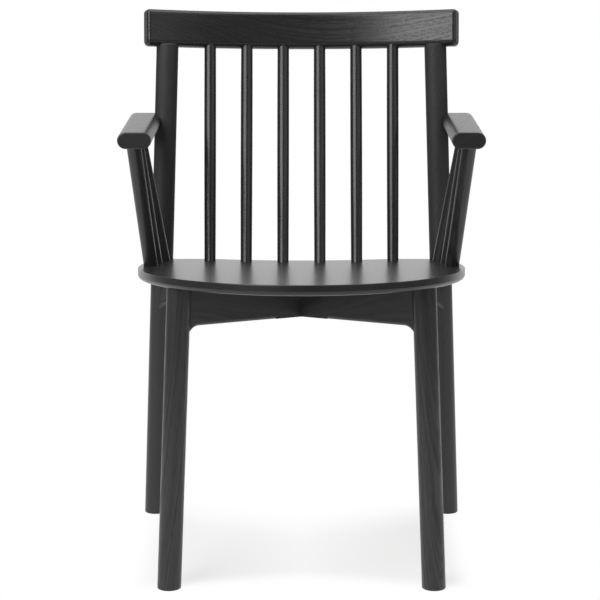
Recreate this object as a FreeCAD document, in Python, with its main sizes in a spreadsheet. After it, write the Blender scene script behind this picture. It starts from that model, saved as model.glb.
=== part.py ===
import FreeCAD, Part
import os
from math import acos, asin, cos, degrees, radians, sin, sqrt, tan

import Sketcher
from FreeCAD import Matrix, Placement, Rotation, Vector

# A spindle-back armchair of turned and shaped ash.
# Millimetres, +Z up, the sitter faces -Y. The origin is on the floor, under the middle of the chair.
# Setbacks are measured backwards from the middle of the seat's front edge.

SIZES = [
    ("front_reach", 274.2, "seat's front edge to the origin"),
    ("seat_height", 456.0, "floor to the top of the seat's front edge"),
    ("seat_slope", 4.6, "fall of the seat towards the back, degrees"),
    ("seat_half_width", 242.0, "centre line to the seat's widest point"),
    ("seat_front_depth", 315.0, "front edge to the widest point"),
    ("seat_depth", 419.0, "front edge to the middle of the back edge"),
    ("seat_thickness", 15.0, "seat board"),
    ("seat_under_round", 6.0, "rounding under the seat's rim"),
    ("seat_top_round", 1.2, "eased top edge of the seat's rim"),
    ("scoop_depth", 32.0, "hollow of the back edge between the posts"),
    ("scoop_radius", 300.0, "curve of that hollow"),
    ("scoop_blend", 60.0, "curve that leads the hollow into the straight ends"),
    ("leg_diameter", 34.0, "front legs"),
    ("front_foot_x", 188.3, "front foot from the centre line"),
    ("front_foot_setback", 105.0, "front foot"),
    ("front_top_x", 170.3, "top of the front leg from the centre line"),
    ("front_top_setback", 131.0, "top of the front leg"),
    ("post_diameter", 34.0, "rear legs and back posts"),
    ("rear_foot_x", 235.2, "rear foot from the centre line"),
    ("rear_foot_setback", 490.0, "rear foot"),
    ("post_bend_x", 216.2, "bend of the rear leg from the centre line"),
    ("post_bend_setback", 447.5, "bend of the rear leg"),
    ("post_bend_height", 421.0, "bend of the rear leg above the floor"),
    ("post_bend_radius", 420.0, "centre-line radius of the bend"),
    ("post_top_x", 206.7, "post where it meets the crest rail's middle"),
    ("post_top_setback", 499.0, "post where it meets the crest rail's middle"),
    ("foot_round", 1.8, "rounded edge of every foot"),
    ("glide_diameter", 22.0, "floor glide"),
    ("glide_proud", 1.0, "glide below the leg"),
    ("glide_let_in", 3.0, "glide inside the leg"),
    ("glide_stem_diameter", 6.0, "stem of the glide"),
    ("glide_stem_length", 14.0, "stem of the glide"),
    ("crest_mid_height", 772.9, "floor to the crest rail's middle at the posts"),
    ("crest_half_width", 240.4, "centre line to the end of the crest rail"),
    ("crest_section_height", 57.0, "crest rail"),
    ("crest_thickness", 24.0, "crest rail"),
    ("crest_radius", 620.0, "curve of the crest rail in plan"),
    ("crest_tilt", 8.3, "crest rail leaning back, degrees"),
    ("crest_top_round", 7.0, "upper long edges"),
    ("crest_bottom_round", 10.0, "lower long edges"),
    ("crest_end_round", 5.0, "rim of the end faces"),
    ("post_housing", 5.5, "post above the crest rail's lower edge"),
    ("post_top_round", 3.5, "eased top of the post"),
    ("post_tenon_diameter", 15.0, "tenon on the post"),
    ("post_tenon_length", 26.0, "tenon above the top of the post"),
    ("spindle_pitch_top", 56.8, "back spindles at the crest rail"),
    ("spindle_pitch_base", 56.3, "back spindles at the seat"),
    ("spindle_inset", 31.0, "back spindles from the seat's back edge"),
    ("spindle_base_diameter", 17.4, "back spindle at the seat"),
    ("spindle_mid_diameter", 18.5, "back spindle half-way up"),
    ("spindle_top_diameter", 18.2, "back spindle at the crest rail"),
    ("spindle_seat_depth", 10.0, "back spindle inside the seat"),
    ("spindle_plug_length", 15.0, "straight foot of the back spindle"),
    ("spindle_crest_depth", 13.0, "back spindle inside the crest rail"),
    ("spindle_crest_lead", 2.5, "back spindle in front of the crest rail's middle"),
    ("arm_top_height", 643.0, "floor to the top of the arm"),
    ("arm_thickness", 23.5, "arm"),
    ("arm_front_outer_x", 258.5, "outer side of the arm's front end from the centre line"),
    ("arm_rear_outer_x", 268.5, "outer side of the arm's rear end from the centre line"),
    ("arm_front_width", 47.8, "arm at its front end"),
    ("arm_rear_width", 49.8, "arm at its rear end"),
    ("arm_front_setback", 172.0, "front end of the arm"),
    ("arm_rear_setback", 497.0, "rear end of the arm"),
    ("arm_end_round", 2.0, "rim of the arm's ends"),
    ("arm_spindle_diameter", 21.0, "arm spindle"),
    ("arm_spindle_inset", 17.0, "arm spindle from the seat's side edge"),
    ("arm_spindle_base_setback", 325.0, "first arm spindle at the seat"),
    ("arm_spindle_base_step", 45.5, "from one arm spindle to the next at the seat"),
    ("arm_spindle_top_setback", 240.0, "first arm spindle at the arm"),
    ("arm_spindle_top_step", 70.0, "from one arm spindle to the next at the arm"),
    ("arm_spindle_out", 4.5, "arm spindle outside the arm's centre line"),
    ("arm_spindle_seat_depth", 10.0, "arm spindle inside the seat"),
    ("arm_spindle_arm_depth", 13.0, "arm spindle inside the arm"),
    ("arm_dowel_diameter", 8.0, "dowel from the post into the arm"),
    ("arm_dowel_in_post", 20.0, "dowel inside the post"),
    ("arm_dowel_in_arm", 18.0, "dowel inside the arm"),
    ("rail_height", 55.0, "cross rail"),
    ("rail_thickness", 22.0, "cross rail"),
    ("rail_flare_radius", 20.5, "flare of the rail's lower edge at a leg"),
    ("rail_flare_turn", 54.0, "how far round the flare goes, degrees"),
    ("front_flare_tip", 13.9, "end of the flare's curve from the front leg's middle"),
    ("rear_flare_tip", 12.0, "end of the flare's curve from the rear leg's middle"),
    ("rail_flare_run", 5.0, "straight run of the flare into the leg"),
    ("rail_past_axis", 0.5, "uncut foot of the flare past the leg's middle"),
    ("rail_edge_round", 4.5, "rounded lower edges of the rail"),
    ("rail_square_stretch", 112.0, "stretch left square at the crossing"),
    ("tenon_thickness", 10.0, "tenon of the rail"),
    ("tenon_height", 30.0, "tenon of the rail"),
    ("tenon_past_axis", 4.0, "tenon past the middle of the leg"),
    ("screw_from_crossing", 118.0, "seat screw from the crossing of the rails"),
    ("screw_diameter", 5.0, "seat screw"),
    ("screw_head_diameter", 10.5, "seat screw"),
    ("screw_head_height", 3.2, "seat screw"),
    ("screw_grip", 24.0, "rail left above the head of the seat screw"),
    ("screw_in_seat", 10.5, "seat screw inside the seat"),
    ("counterbore_diameter", 13.0, "well for the head of the seat screw"),
    ("fit_clearance", 0.1, "room on each side of a joint"),
    ("end_clearance", 0.5, "room at the bottom of a socket"),
]

SPINDLES_PER_HALF = 3
ARM_SPINDLE_NAMES = ("front", "middle", "rear")
OVERSHOOT = 60.0

doc = FreeCAD.newDocument("spindle_armchair")
sheet = doc.addObject("Spreadsheet::Sheet", "Sizes")
for row, (alias, value, note) in enumerate(SIZES, start=1):
    sheet.set(f"A{row}", note)
    sheet.set(f"B{row}", str(value))
    sheet.setAlias(f"B{row}", alias)
doc.recompute()

nodes = {}


def size(alias):
    """A driving dimension, read from the sheet."""
    return float(sheet.get(alias))


def node(name, piece):
    """Names a finished piece of the chair and keeps it for writing."""
    piece.Label = name
    nodes[name] = piece
    return piece


# General helpers

def along(start, end):
    """A placement at start whose Z axis points at end."""
    return Placement(start, Rotation(Vector(0, 0, 1), end - start))


def frame(origin, x_axis, y_axis, z_axis):
    """A placement with the given axes."""
    matrix = Matrix(
        x_axis.x, y_axis.x, z_axis.x, origin.x,
        x_axis.y, y_axis.y, z_axis.y, origin.y,
        x_axis.z, y_axis.z, z_axis.z, origin.z,
        0, 0, 0, 1,
    )
    return Placement(matrix)


def towards(start, end, distance):
    """The point that lies the given distance from start on the line to end."""
    return start + (end - start).normalize() * distance


def rod(name, start, end, radius):
    """A straight round bar; its radius is an expression on the sheet."""
    bar = doc.addObject("Part::Cylinder", name)
    bar.setExpression("Radius", radius)
    bar.Height = start.distanceToPoint(end)
    bar.Placement = along(start, end)
    return bar


def block(name, place, low, high):
    """A box between two corners of a local frame."""
    box = doc.addObject("Part::Box", name)
    box.Length = high.x - low.x
    box.Width = high.y - low.y
    box.Height = high.z - low.z
    box.Placement = place.multiply(Placement(low, Rotation()))
    return box


def fuse(name, pieces):
    """Several solids joined into one."""
    joined = doc.addObject("Part::MultiFuse", name)
    joined.Shapes = pieces
    return joined


def cut(name, base, tools):
    """A piece with one or more tools taken out of it."""
    result = doc.addObject("Part::Cut", name)
    result.Base = base
    result.Tool = tools[0] if len(tools) == 1 else fuse(name + "Tools", tools)
    doc.recompute()
    if result.Shape.Volume > base.Shape.Volume - 1e-6:
        raise ValueError(name + " removed nothing")
    return result


def common(name, base, tool):
    """What two solids share."""
    result = doc.addObject("Part::Common", name)
    result.Base = base
    result.Tool = tool
    return result


def mirror(name, piece):
    """The same piece on the other side of the chair's centre plane."""
    twin = doc.addObject("Part::Mirroring", name)
    twin.Source = piece
    twin.Normal = Vector(1, 0, 0)
    return twin


def group(name, pieces):
    """Like pieces kept as one node of separate solids."""
    bundle = doc.addObject("Part::Compound", name)
    bundle.Links = pieces
    return bundle


def round_edges(name, piece, radius, chosen):
    """Rounds the edges of a piece for which chosen(edge) is true."""
    doc.recompute()
    picked = [(i, radius, radius) for i, edge in enumerate(piece.Shape.Edges, start=1) if chosen(edge)]
    rounded = doc.addObject("Part::Fillet", name)
    rounded.Base = piece
    rounded.Edges = picked
    return rounded


def body_sketch(body, name, plane, lift=0.0):
    """A sketch on one of a body's own origin planes, lifted along the plane's normal."""
    sketch = body.newObject("Sketcher::SketchObject", name)
    base = [feature for feature in body.Origin.OriginFeatures if feature.Role == plane][0]
    sketch.AttachmentSupport = [(base, "")]
    sketch.MapMode = "FlatFace"
    sketch.AttachmentOffset = Placement(Vector(0, 0, lift), Rotation())
    return sketch


def line(a, b):
    """A straight sketch edge between two points given as pairs."""
    return Part.LineSegment(Vector(a[0], a[1], 0), Vector(b[0], b[1], 0))


def arc(a, b, c):
    """A round sketch edge from a through b to c."""
    return Part.Arc(Vector(a[0], a[1], 0), Vector(b[0], b[1], 0), Vector(c[0], c[1], 0))


def add_chain(sketch, edges, smooth=(), closed=True):
    """Adds edges that follow each other and ties each end to the next start, smoothly where listed."""
    starts, ends = [], []
    for i, edge in enumerate(edges):
        sketch.addGeometry(edge, False)
        forward = sketch.getPoint(i, 1).isEqual(edge.StartPoint, 1e-6)
        starts.append(1 if forward else 2)
        ends.append(2 if forward else 1)
    count = len(edges)
    for i in range(count if closed else count - 1):
        following = (i + 1) % count
        kind = "Tangent" if i in smooth else "Coincident"
        sketch.addConstraint(Sketcher.Constraint(kind, i, ends[i], following, starts[following]))


def dimension(sketch, name, expression, *place):
    """A named sketch dimension bound to the sheet."""
    index = sketch.addConstraint(Sketcher.Constraint(*place))
    sketch.renameConstraint(index, name)
    sketch.setExpression("Constraints." + name, expression)


def turn_about_axis(body, sketch, angle=360.0):
    """A revolution of a sketch about its own vertical axis, shared to both sides."""
    turned = body.newObject("PartDesign::Revolution", body.Name + "Turned")
    turned.Profile = sketch
    turned.ReferenceAxis = (sketch, ["V_Axis"])
    turned.Angle = angle
    turned.Midplane = True
    sketch.Visibility = False
    return turned


# Places that the pieces share

slope = radians(size("seat_slope"))
seat_back = Vector(0, cos(slope), -sin(slope))
seat_up = Vector(0, sin(slope), cos(slope))
seat_origin = Vector(0, -size("front_reach"), size("seat_height"))
seat_place = frame(seat_origin, Vector(1, 0, 0), seat_back, seat_up)


def on_seat(x, setback, above=0.0):
    """A point on the seat's top, or above it, by its distance from the centre line and its setback."""
    return seat_place.multVec(Vector(x, setback, above))


def behind_front(x, setback, height):
    """A point by its distance from the centre line, its level setback and its height above the floor."""
    return Vector(x, setback - size("front_reach"), height)


def where_at_depth(start, end, depth):
    """Where a straight line passes a plane that lies depth under the seat's top."""
    a = (start - seat_origin).dot(seat_up)
    b = (end - seat_origin).dot(seat_up)
    return start + (end - start) * ((-depth - a) / (b - a))


def where_at_height(start, end, height):
    """Where a straight line passes a level plane."""
    return start + (end - start) * ((height - start.z) / (end.z - start.z))


front_foot = behind_front(-size("front_foot_x"), size("front_foot_setback"), 0)
front_aim = behind_front(-size("front_top_x"), size("front_top_setback"), size("seat_height"))
front_top = where_at_depth(front_foot, front_aim, size("seat_thickness"))
rear_foot = behind_front(-size("rear_foot_x"), size("rear_foot_setback"), 0)
post_bend = behind_front(-size("post_bend_x"), size("post_bend_setback"), size("post_bend_height"))
post_top = behind_front(-size("post_top_x"), size("post_top_setback"), size("crest_mid_height"))


# Seat panel: an oval board cut off behind by a hollowed back edge

def seat_edge_x(setback):
    """Half the seat's width at a setback, on its oval outline."""
    share = (setback - size("seat_front_depth")) / size("seat_front_depth")
    return size("seat_half_width") * sqrt(1 - share * share)


def make_oval():
    """The oval board with its rim rounded above and below."""
    outline = doc.addObject("Part::Ellipse", "SeatOutline")
    outline.setExpression("MajorRadius", "max(Sizes.seat_front_depth; Sizes.seat_half_width)")
    outline.setExpression("MinorRadius", "min(Sizes.seat_front_depth; Sizes.seat_half_width)")
    long_way_back = size("seat_front_depth") >= size("seat_half_width")
    quarter = Rotation(Vector(0, 0, 1), 90 if long_way_back else 0)
    outline.Placement = seat_place.multiply(Placement(Vector(0, size("seat_front_depth"), 0), quarter))
    board = doc.addObject("Part::Extrusion", "SeatOval")
    board.Base = outline
    board.DirMode = "Custom"
    board.Dir = -seat_up
    board.setExpression("LengthFwd", "Sizes.seat_thickness")
    board.Solid = True
    middle = -size("seat_thickness") / 2

    def is_rim(edge, upper):
        height = (edge.CenterOfMass - seat_origin).dot(seat_up)
        return edge.Closed and (height > middle) == upper

    under = round_edges("SeatUnderRound", board, size("seat_under_round"), lambda e: is_rim(e, False))
    return round_edges("SeatTopRound", under, size("seat_top_round"), lambda e: is_rim(e, True))


def back_edge_points():
    """Centre of the hollow and of its blend, and where the hollow, the blend and the straight end meet."""
    hollow, blend = size("scoop_radius"), size("scoop_blend")
    straight = size("seat_depth") + size("scoop_depth")
    hollow_y = size("seat_depth") + hollow
    blend_y = straight - blend
    blend_x = sqrt((hollow + blend) ** 2 - (hollow_y - blend_y) ** 2)
    share = hollow / (hollow + blend)
    meet = (blend_x * share, hollow_y + (blend_y - hollow_y) * share)
    return hollow_y, (blend_x, blend_y), meet, straight


def make_back_trim():
    """A wide slab whose back edge is the seat's back edge, rounded like the seat's rim."""
    hollow_y, (blend_x, blend_y), (meet_x, meet_y), straight = back_edge_points()
    blend = size("scoop_blend")
    half_turn = acos((meet_y - blend_y) / blend) / 2
    way = (blend_x - blend * sin(half_turn), blend_y + blend * cos(half_turn))
    side = size("seat_half_width") + OVERSHOOT
    body = doc.addObject("PartDesign::Body", "SeatBackTrim")
    sketch = body_sketch(body, "SeatBackEdge", "XY_Plane")
    add_chain(sketch, [
        line((-side, -OVERSHOOT), (side, -OVERSHOOT)),
        line((side, -OVERSHOOT), (side, straight)),
        line((side, straight), (blend_x, straight)),
        arc((blend_x, straight), way, (meet_x, meet_y)),
        arc((meet_x, meet_y), (0, size("seat_depth")), (-meet_x, meet_y)),
        arc((-meet_x, meet_y), (-way[0], way[1]), (-blend_x, straight)),
        line((-blend_x, straight), (-side, straight)),
        line((-side, straight), (-side, -OVERSHOOT)),
    ], smooth=(2, 3, 4, 5))
    for level in (0, 2, 6):
        sketch.addConstraint(Sketcher.Constraint("Horizontal", level))
    dimension(sketch, "hollow", "Sizes.scoop_radius", "Radius", 4, hollow_y - size("seat_depth"))
    dimension(sketch, "blend_one", "Sizes.scoop_blend", "Radius", 3, blend)
    dimension(sketch, "blend_two", "Sizes.scoop_blend", "Radius", 5, blend)
    pad = body.newObject("PartDesign::Pad", "SeatBackPad")
    pad.Profile = sketch
    pad.setExpression("Length", "Sizes.seat_thickness")
    pad.Reversed = True
    sketch.Visibility = False
    body.Placement = seat_place
    near_back = seat_place.inverse()

    def is_back(edge, upper):
        centre = near_back.multVec(edge.CenterOfMass)
        flat = abs(edge.BoundBox.ZLength) < size("seat_thickness") - 1
        behind = centre.y > size("seat_depth") - 1
        return flat and behind and (centre.z > -size("seat_thickness") / 2) == upper

    under = round_edges("BackUnderRound", body, size("seat_under_round"), lambda e: is_back(e, False))
    return round_edges("BackTopRound", under, size("seat_top_round"), lambda e: is_back(e, True))


seat_blank = common("SeatBlank", make_oval(), make_back_trim())


# Front leg: a straight round bar, level at the foot and cut to the seat's underside at the top

def below_floor(name, level):
    """A slab that takes away everything under a level."""
    reach = size("front_reach") + size("rear_foot_setback")
    low = Vector(-reach, -reach, level - 4 * OVERSHOOT)
    return block(name, Placement(), low, Vector(reach, reach, level))


def glide_well(name, foot):
    """The hole in a foot that takes a floor glide."""
    top = size("glide_proud") + size("glide_let_in")
    stem_top = top + size("glide_stem_length") + size("end_clearance")
    floor = Vector(foot.x, foot.y, -OVERSHOOT)
    disc = rod(name + "Disc", floor, Vector(foot.x, foot.y, top),
               "Sizes.glide_diameter / 2 + Sizes.fit_clearance")
    stem = rod(name + "Stem", floor, Vector(foot.x, foot.y, stem_top),
               "Sizes.glide_stem_diameter / 2 + Sizes.fit_clearance")
    return [disc, stem]


def make_glide(name, foot):
    """A floor glide: a disc with a stem."""
    top = size("glide_proud") + size("glide_let_in")
    stem_top = top + size("glide_stem_length")
    floor = Vector(foot.x, foot.y, 0)
    disc = rod(name + "Disc", floor, Vector(foot.x, foot.y, top), "Sizes.glide_diameter / 2")
    stem = rod(name + "Stem", floor, Vector(foot.x, foot.y, stem_top), "Sizes.glide_stem_diameter / 2")
    return fuse(name, [disc, stem])


def is_foot_rim(edge):
    """True for the edge round the bottom of a leg."""
    return edge.BoundBox.ZMax < size("glide_proud") + 0.1


foot_level = size("glide_proud")
front_low = towards(front_foot, front_top, -OVERSHOOT)
front_high = towards(front_top, front_foot, -OVERSHOOT)
front_bar = rod("FrontLegBar", front_low, front_high, "Sizes.leg_diameter / 2")
front_room = rod("FrontLegRoom", front_low, front_high, "Sizes.leg_diameter / 2 + Sizes.fit_clearance")
over_leg = block(
    "OverFrontLeg", seat_place,
    Vector(-2 * size("seat_half_width"), -OVERSHOOT, -size("seat_thickness")),
    Vector(2 * size("seat_half_width"), size("seat_depth"), 3 * OVERSHOOT),
)
front_blank = cut("FrontLegBlank", front_bar, [below_floor("UnderFrontFoot", foot_level), over_leg])
front_blank = round_edges("FrontLegRound", front_blank, size("foot_round"), is_foot_rim)


# Rear leg: a round bar bent at the seat, whose upper part is the back post

def bent_bar(name, radius):
    """The rear leg's round bar from under the floor to above the crest rail's middle, with its bend."""
    low_way = (post_bend - rear_foot).normalize()
    high_way = (post_top - post_bend).normalize()
    turn = acos(low_way.dot(high_way))
    start = rear_foot - low_way * OVERSHOOT
    straight = start.distanceToPoint(post_bend) - size("post_bend_radius") * tan(turn / 2)
    upper = post_bend.distanceToPoint(post_top) - size("post_bend_radius") * tan(turn / 2)
    bend = size("post_bend_radius")
    side = (high_way - low_way * low_way.dot(high_way)).normalize()
    body = doc.addObject("PartDesign::Body", name)
    path = body_sketch(body, name + "Path", "XZ_Plane")
    middle = (bend * (1 - cos(turn / 2)), straight + bend * sin(turn / 2))
    over = (bend * (1 - cos(turn)), straight + bend * sin(turn))
    end = (over[0] + upper * sin(turn), over[1] + upper * cos(turn))
    add_chain(path, [
        line((0, 0), (0, straight)),
        arc((0, straight), middle, over),
        line(over, end),
    ], smooth=(0, 1), closed=False)
    path.addConstraint(Sketcher.Constraint("Coincident", 0, 1, -1, 1))
    path.addConstraint(Sketcher.Constraint("Vertical", 0))
    dimension(path, "bend", "Sizes.post_bend_radius", "Radius", 1, bend)
    section = body_sketch(body, name + "Section", "XY_Plane")
    section.addGeometry(Part.Circle(Vector(0, 0, 0), Vector(0, 0, 1), size("post_diameter") / 2), False)
    section.addConstraint(Sketcher.Constraint("Coincident", 0, 3, -1, 1))
    dimension(section, "radius", radius, "Radius", 0, size("post_diameter") / 2)
    pipe = body.newObject("PartDesign::AdditivePipe", name + "Pipe")
    pipe.Profile = section
    pipe.Spine = (path, ["Edge1", "Edge2", "Edge3"])
    body.Placement = frame(start, side, low_way.cross(side), low_way)
    doc.recompute()
    return body


post_bar = bent_bar("PostBar", "Sizes.post_diameter / 2")
post_room = bent_bar("PostRoom", "Sizes.post_diameter / 2 + Sizes.fit_clearance")


# Crest rail: a rounded section turned about the centre of the back's curve

tilt = radians(size("crest_tilt"))
crest_back = Vector(0, cos(tilt), -sin(tilt))
crest_up = Vector(0, sin(tilt), cos(tilt))
crest_post_run = sqrt(size("crest_radius") ** 2 - size("post_top_x") ** 2)
crest_centre = Vector(0, post_top.y, post_top.z) - crest_back * crest_post_run
crest_place = frame(crest_centre, Vector(1, 0, 0), crest_back, crest_up)


def corner(x, y, radius, side_x, side_y):
    """Start, middle and end of a rounded corner, from its level side to its upright side."""
    slant = radius * (1 - sqrt(0.5))
    return ((x - side_x * radius, y), (x - side_x * slant, y - side_y * slant), (x, y - side_y * radius))


def make_crest_bar(name, grow):
    """The crest rail's bar, or with grow the room that it takes up in the post."""
    run = size("crest_radius")
    half_t = size("crest_thickness") / 2 + grow
    half_h = size("crest_section_height") / 2 + grow
    top = size("crest_top_round") + grow
    bottom = size("crest_bottom_round") + grow
    back_top = corner(run + half_t, half_h, top, 1, 1)
    back_bottom = corner(run + half_t, -half_h, bottom, 1, -1)
    front_top_corner = corner(run - half_t, half_h, top, -1, 1)
    front_bottom = corner(run - half_t, -half_h, bottom, -1, -1)
    body = doc.addObject("PartDesign::Body", name)
    sketch = body_sketch(body, name + "Section", "YZ_Plane")
    add_chain(sketch, [
        line(front_top_corner[0], back_top[0]),
        arc(*back_top),
        line(back_top[2], back_bottom[2]),
        arc(*reversed(back_bottom)),
        line(back_bottom[0], front_bottom[0]),
        arc(*front_bottom),
        line(front_bottom[2], front_top_corner[2]),
        arc(*reversed(front_top_corner)),
    ], smooth=range(8))
    for level in (0, 4):
        sketch.addConstraint(Sketcher.Constraint("Horizontal", level))
    for upright in (2, 6):
        sketch.addConstraint(Sketcher.Constraint("Vertical", upright))
    spare = "Sizes.fit_clearance" if grow else "0"
    reach = f"Sizes.crest_radius - Sizes.crest_thickness / 2 - {spare}"
    dimension(sketch, "reach", reach, "DistanceX", -1, 1, 6, 1, run - half_t)
    across = f"Sizes.crest_thickness + 2 * {spare}"
    dimension(sketch, "across", across, "DistanceX", 6, 1, 2, 2, 2 * half_t)
    half_up = f"Sizes.crest_section_height / 2 + {spare}"
    dimension(sketch, "half_up", half_up, "DistanceY", -1, 1, 0, 2, half_h)
    upright = f"Sizes.crest_section_height + 2 * {spare}"
    dimension(sketch, "upright", upright, "DistanceY", 4, 1, 0, 2, 2 * half_h)
    top_round = f"Sizes.crest_top_round + {spare}"
    dimension(sketch, "top_back", top_round, "Radius", 1, top)
    dimension(sketch, "top_front", top_round, "Radius", 7, top)
    bottom_round = f"Sizes.crest_bottom_round + {spare}"
    dimension(sketch, "bottom_back", bottom_round, "Radius", 3, bottom)
    dimension(sketch, "bottom_front", bottom_round, "Radius", 5, bottom)
    sketch.Visibility = False
    turn_about_axis(body, sketch, 2 * degrees(asin(size("crest_half_width") / run)))
    body.Placement = crest_place
    doc.recompute()
    return body


crest_bar = make_crest_bar("CrestBar", 0.0)
crest_room = make_crest_bar("CrestRoom", size("fit_clearance"))


def is_crest_end(edge):
    """True for the edges round the two end faces of the crest rail."""
    reach = size("crest_radius") + size("crest_thickness")
    end_turn = asin(size("crest_half_width") / size("crest_radius"))
    for side in (-1, 1):
        normal = Vector(side * cos(end_turn), -sin(end_turn), 0)
        normal = crest_place.Rotation.multVec(normal)
        if all(abs((v.Point - crest_centre).dot(normal)) < 1e-3 for v in edge.Vertexes):
            return edge.Length < reach
    return False


crest_blank = round_edges("CrestEndRound", crest_bar, size("crest_end_round"), is_crest_end)


# Back spindles: turned with a slight swell, plugged into the seat and the crest rail

def crest_mouth(x):
    """Where a spindle at a distance from the centre line meets the crest rail's lower edge."""
    run = sqrt(size("crest_radius") ** 2 - x * x) - size("spindle_crest_lead")
    return crest_place.multVec(Vector(x, run, -size("crest_section_height") / 2))


def back_spindle_ends(place):
    """Where a back spindle meets the seat and the crest rail; place counts from the middle."""
    base_x = -(place + 0.5) * size("spindle_pitch_base")
    top_x = -(place + 0.5) * size("spindle_pitch_top")
    hollow_y = size("seat_depth") + size("scoop_radius")
    line_radius = size("scoop_radius") + size("spindle_inset")
    setback = hollow_y - sqrt(line_radius ** 2 - base_x ** 2)
    return on_seat(base_x, setback), crest_mouth(top_x)


def swelling_rod(name, start, end):
    """A turned rod with a straight foot, which swells slightly up to half-way and then narrows."""
    length = start.distanceToPoint(end)
    plug = size("spindle_plug_length")
    half_up = (plug + length) / 2
    r_low = size("spindle_base_diameter") / 2
    r_mid = size("spindle_mid_diameter") / 2
    r_high = size("spindle_top_diameter") / 2
    body = doc.addObject("PartDesign::Body", name)
    sketch = body_sketch(body, name + "Half", "XZ_Plane")
    add_chain(sketch, [
        line((0, 0), (r_low, 0)),
        line((r_low, 0), (r_low, plug)),
        arc((r_low, plug), (r_mid, half_up), (r_high, length)),
        line((r_high, length), (0, length)),
        line((0, length), (0, 0)),
    ])
    sketch.addConstraint(Sketcher.Constraint("Coincident", 0, 1, -1, 1))
    for level in (0, 3):
        sketch.addConstraint(Sketcher.Constraint("Horizontal", level))
    for upright in (1, 4):
        sketch.addConstraint(Sketcher.Constraint("Vertical", upright))
    dimension(sketch, "low", "Sizes.spindle_base_diameter / 2", "DistanceX", 0, 1, 0, 2, r_low)
    dimension(sketch, "plug", "Sizes.spindle_plug_length", "DistanceY", 1, 1, 1, 2, plug)
    dimension(sketch, "high", "Sizes.spindle_top_diameter / 2", "DistanceX", 3, 2, 3, 1, r_high)
    sketch.addConstraint(Sketcher.Constraint("DistanceY", 4, 2, 4, 1, length))
    swell = sketch.addGeometry(Part.Point(Vector(r_mid, half_up, 0)), True)
    sketch.addConstraint(Sketcher.Constraint("PointOnObject", swell, 1, 2))
    sketch.addConstraint(Sketcher.Constraint("DistanceY", 0, 1, swell, 1, half_up))
    dimension(sketch, "swell", "Sizes.spindle_mid_diameter / 2", "DistanceX", 4, 2, swell, 1, r_mid)
    sketch.Visibility = False
    turn_about_axis(body, sketch)
    body.Placement = along(start, end)
    doc.recompute()
    return body


seat_tools = []
crest_tools = []
for place in range(SPINDLES_PER_HALF):
    seat_end, crest_end = back_spindle_ends(place)
    foot = towards(seat_end, crest_end, -size("spindle_seat_depth"))
    tip = towards(crest_end, seat_end, -size("spindle_crest_depth"))
    spindle = swelling_rod(f"BackSpindle{place + 1}", foot, tip)
    node(f"back_spindle_left_{place + 1}", spindle)
    node(f"back_spindle_right_{place + 1}", mirror(f"BackSpindleTwin{place + 1}", spindle))
    deep_foot = towards(foot, tip, -size("end_clearance"))
    deep_tip = towards(tip, foot, -size("end_clearance"))
    seat_bore = "Sizes.spindle_base_diameter / 2 + Sizes.fit_clearance"
    seat_tools.append(rod(f"SeatBore{place + 1}", deep_foot, crest_end, seat_bore))
    crest_bore = "Sizes.spindle_mid_diameter / 2 + Sizes.fit_clearance"
    crest_tools.append(rod(f"CrestBore{place + 1}", seat_end, deep_tip, crest_bore))


# Armrest: a flat bar with round sides, narrowing to the back, housed on the outside of the post

arm_middle = size("arm_top_height") - size("arm_thickness") / 2
arm_front_x = -size("arm_front_outer_x") + size("arm_front_width") / 2
arm_rear_x = -size("arm_rear_outer_x") + size("arm_rear_width") / 2
arm_length = size("arm_rear_setback") - size("arm_front_setback")
arm_front = behind_front(0, size("arm_front_setback"), arm_middle)


def arm_centre(setback, height):
    """A point of the arm's centre line at a setback, moved to a height."""
    share = (setback - size("arm_front_setback")) / arm_length
    return behind_front(arm_front_x + (arm_rear_x - arm_front_x) * share, setback, height)


def stadium(body, name, centre_x, end, lift):
    """A sketch of the arm's section at one end: flat above and below, half-round at both sides."""
    width = size(f"arm_{end}_width")
    radius = size("arm_thickness") / 2
    inner = width / 2 - radius
    left, right = centre_x - inner, centre_x + inner
    sketch = body_sketch(body, name, "XZ_Plane", lift)
    add_chain(sketch, [
        line((left, radius), (right, radius)),
        arc((right, radius), (right + radius, 0), (right, -radius)),
        line((right, -radius), (left, -radius)),
        arc((left, -radius), (left - radius, 0), (left, radius)),
    ], smooth=range(4))
    for level in (0, 2):
        sketch.addConstraint(Sketcher.Constraint("Horizontal", level))
    dimension(sketch, "round", "Sizes.arm_thickness / 2", "Radius", 1, radius)
    flat = f"Sizes.arm_{end}_width - Sizes.arm_thickness"
    dimension(sketch, "flat", flat, "DistanceX", 0, 1, 0, 2, 2 * inner)
    dimension(sketch, "half_up", "Sizes.arm_thickness / 2", "DistanceY", -1, 1, 0, 1, radius)
    outer = f"Sizes.arm_{end}_outer_x - Sizes.arm_thickness / 2"
    dimension(sketch, "side", outer, "DistanceX", 0, 1, -1, 1, -left)
    sketch.Visibility = False
    return sketch


def is_arm_end(edge):
    """True for the edges round the arm's two ends."""
    ends = (arm_front.y, arm_front.y + arm_length)
    return any(abs(edge.BoundBox.YMin - y) < 1e-3 and edge.BoundBox.YLength < 1e-3 for y in ends)


arm_body = doc.addObject("PartDesign::Body", "ArmBody")
arm_front_section = stadium(arm_body, "ArmFront", arm_front_x, "front", 0)
arm_rear_section = stadium(arm_body, "ArmRear", arm_rear_x, "rear", -arm_length)
arm_loft = arm_body.newObject("PartDesign::AdditiveLoft", "ArmLoft")
arm_loft.Profile = arm_rear_section
arm_loft.Sections = [arm_front_section]
arm_body.Placement = Placement(arm_front, Rotation())
arm_blank = round_edges("ArmEndRound", arm_body, size("arm_end_round"), is_arm_end)

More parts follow.
